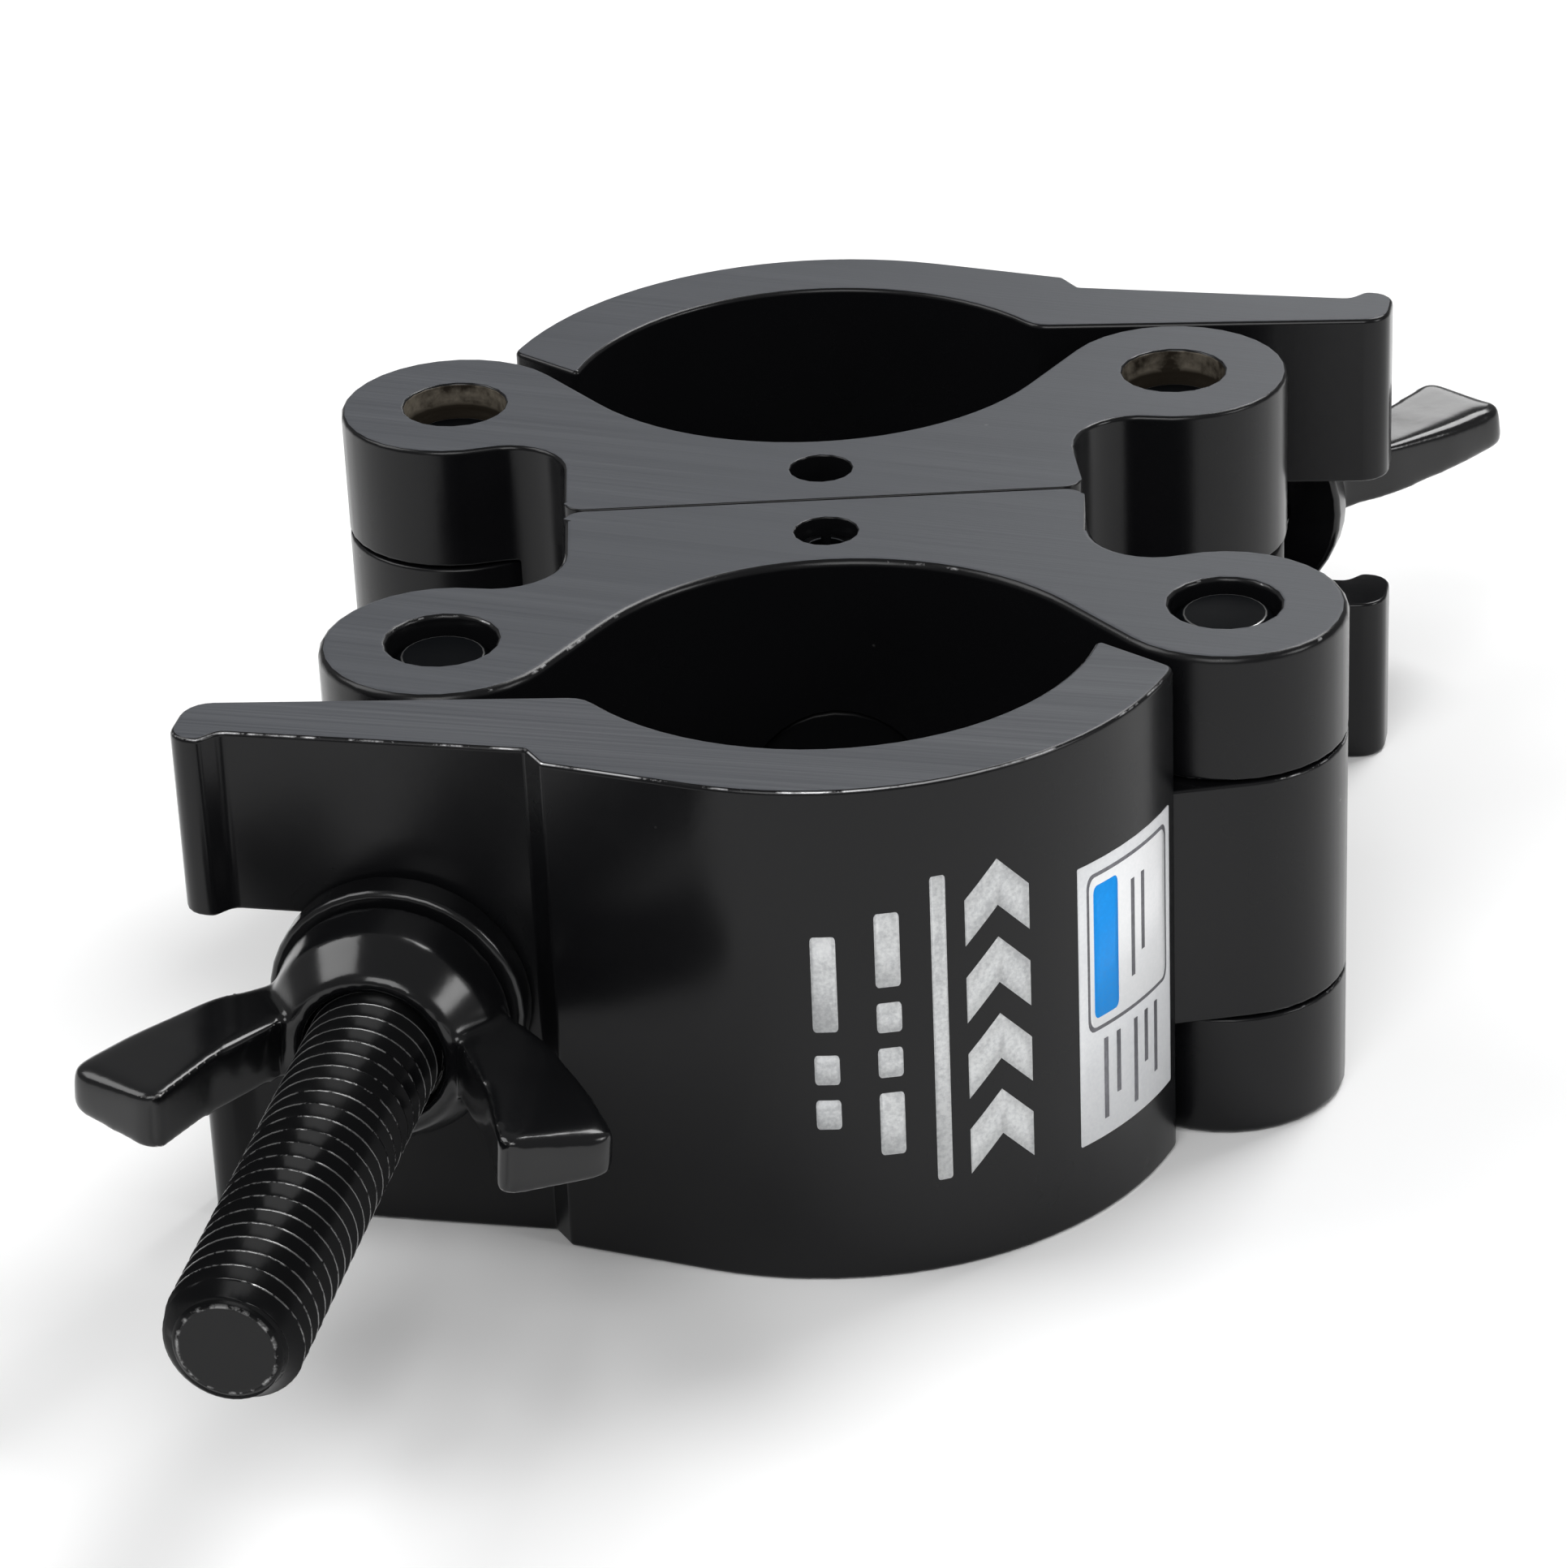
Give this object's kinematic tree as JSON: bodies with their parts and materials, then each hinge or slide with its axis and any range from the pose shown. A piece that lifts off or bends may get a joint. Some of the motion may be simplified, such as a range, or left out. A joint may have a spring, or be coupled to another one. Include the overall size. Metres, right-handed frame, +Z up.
{
  "type": "scaffold coupler clamp",
  "caption": "Swivel tube coupler: hinged half clamps back to back on a pivot, each closed round a tube by a swinging eyebolt, washer and wing nut.",
  "frame": {"origin": "on the floor, below the middle of the seam between the two halves, on the swivel axis's plane", "axes": "+X to the right, +Y from the front half to the rear half along the swivel axis, +Z up along both tubes"},
  "size_m": [0.1428, 0.1883, 0.05],
  "materials": {
    "front_saddle": "black satin coat over extruded aluminium, bare sawn texture on the ends",
    "front_jaw": "black satin coat over extruded aluminium, bare sawn texture on the ends",
    "front_hinge_pin": "dark oiled steel pin",
    "front_eye_pin": "dark oiled steel pin",
    "front_eyebolt": "gloss black painted steel, worn bright at the edges",
    "front_washer": "gloss black painted steel, worn bright at the edges",
    "front_wing_nut": "gloss black painted steel, worn bright at the edges",
    "rear_saddle": "black satin coat over extruded aluminium, bare sawn texture on the ends",
    "rear_jaw": "black satin coat over extruded aluminium, bare sawn texture on the ends",
    "rear_hinge_pin": "dark oiled steel pin",
    "rear_eye_pin": "dark oiled steel pin",
    "rear_eyebolt": "gloss black painted steel, worn bright at the edges",
    "rear_washer": "gloss black painted steel, worn bright at the edges",
    "rear_wing_nut": "gloss black painted steel, worn bright at the edges",
    "pivot_screw": "gloss black painted steel, worn bright at the edges",
    "pivot_sleeve": "gloss black painted steel, worn bright at the edges",
    "lock_pin": "dark spring steel"
  },
  "bodies": {
    "front_saddle": {"front_saddle": "front_saddle", "front_hinge_pin": "front_hinge_pin", "front_eye_pin": "front_eye_pin", "pivot_screw": "pivot_screw", "pivot_sleeve": "pivot_sleeve", "lock_pin": "lock_pin"},
    "front_jaw": {"front_jaw": "front_jaw"},
    "front_eyebolt": {"front_eyebolt": "front_eyebolt"},
    "front_washer": {"front_washer": "front_washer"},
    "front_wing_nut": {"front_wing_nut": "front_wing_nut"},
    "rear_saddle": {"rear_saddle": "rear_saddle", "rear_hinge_pin": "rear_hinge_pin", "rear_eye_pin": "rear_eye_pin"},
    "rear_jaw": {"rear_jaw": "rear_jaw"},
    "rear_eyebolt": {"rear_eyebolt": "rear_eyebolt"},
    "rear_washer": {"rear_washer": "rear_washer"},
    "rear_wing_nut": {"rear_wing_nut": "rear_wing_nut"}
  },
  "joints": [
    {"name": "swivel", "type": "hinge", "parent": "front_saddle", "child": "rear_saddle", "pos_m": [0, 0, 0.025], "axis": [0, 1, 0], "continuous": true},
    {"name": "front_jaw_hinge", "type": "hinge", "parent": "front_saddle", "child": "front_jaw", "pos_m": [0.0357, -0.0261, 0.025], "axis": [0, 0, 1], "range_deg": [0, 17.02]},
    {"name": "front_bolt_swing", "type": "hinge", "parent": "front_saddle", "child": "front_eyebolt", "pos_m": [-0.0357, -0.0261, 0.025], "axis": [0, 0, -1], "range_deg": [0, 40.02]},
    {"name": "front_washer_slide", "type": "slide", "parent": "front_eyebolt", "child": "front_washer", "axis": [-0.2181, -0.9759, 0], "range_m": [0, 0.04412]},
    {"name": "front_nut_turn", "type": "hinge", "parent": "front_washer", "child": "front_wing_nut", "pos_m": [-0.0357, -0.0261, 0.025], "axis": [-0.2181, -0.9759, 0], "range_deg": [0, 7560]},
    {"name": "rear_jaw_hinge", "type": "hinge", "parent": "rear_saddle", "child": "rear_jaw", "pos_m": [-0.0357, 0.0261, 0.025], "axis": [0, 0, 1], "range_deg": [0, 9.52]},
    {"name": "rear_bolt_swing", "type": "hinge", "parent": "rear_saddle", "child": "rear_eyebolt", "pos_m": [0.0357, 0.0261, 0.025], "axis": [0, 0, -1], "range_deg": [0, 20.02]},
    {"name": "rear_washer_slide", "type": "slide", "parent": "rear_eyebolt", "child": "rear_washer", "axis": [0.342, 0.9397, 0], "range_m": [0, 0.02732]},
    {"name": "rear_nut_turn", "type": "hinge", "parent": "rear_washer", "child": "rear_wing_nut", "pos_m": [0.0357, 0.0261, 0.025], "axis": [0.342, 0.9397, 0], "range_deg": [0, 4680]}
  ],
  "couplings": [
    {"joint": "front_washer_slide", "follows": "front_nut_turn", "m_per_rad": 0.00033423},
    {"joint": "front_bolt_swing", "follows": "front_nut_turn", "ratio": 0.005291},
    {"joint": "front_jaw_hinge", "follows": "front_nut_turn", "ratio": 0.0022487},
    {"joint": "rear_washer_slide", "follows": "rear_nut_turn", "m_per_rad": 0.00033423},
    {"joint": "rear_bolt_swing", "follows": "rear_nut_turn", "ratio": 0.0042735},
    {"joint": "rear_jaw_hinge", "follows": "rear_nut_turn", "ratio": 0.0020299}
  ]
}
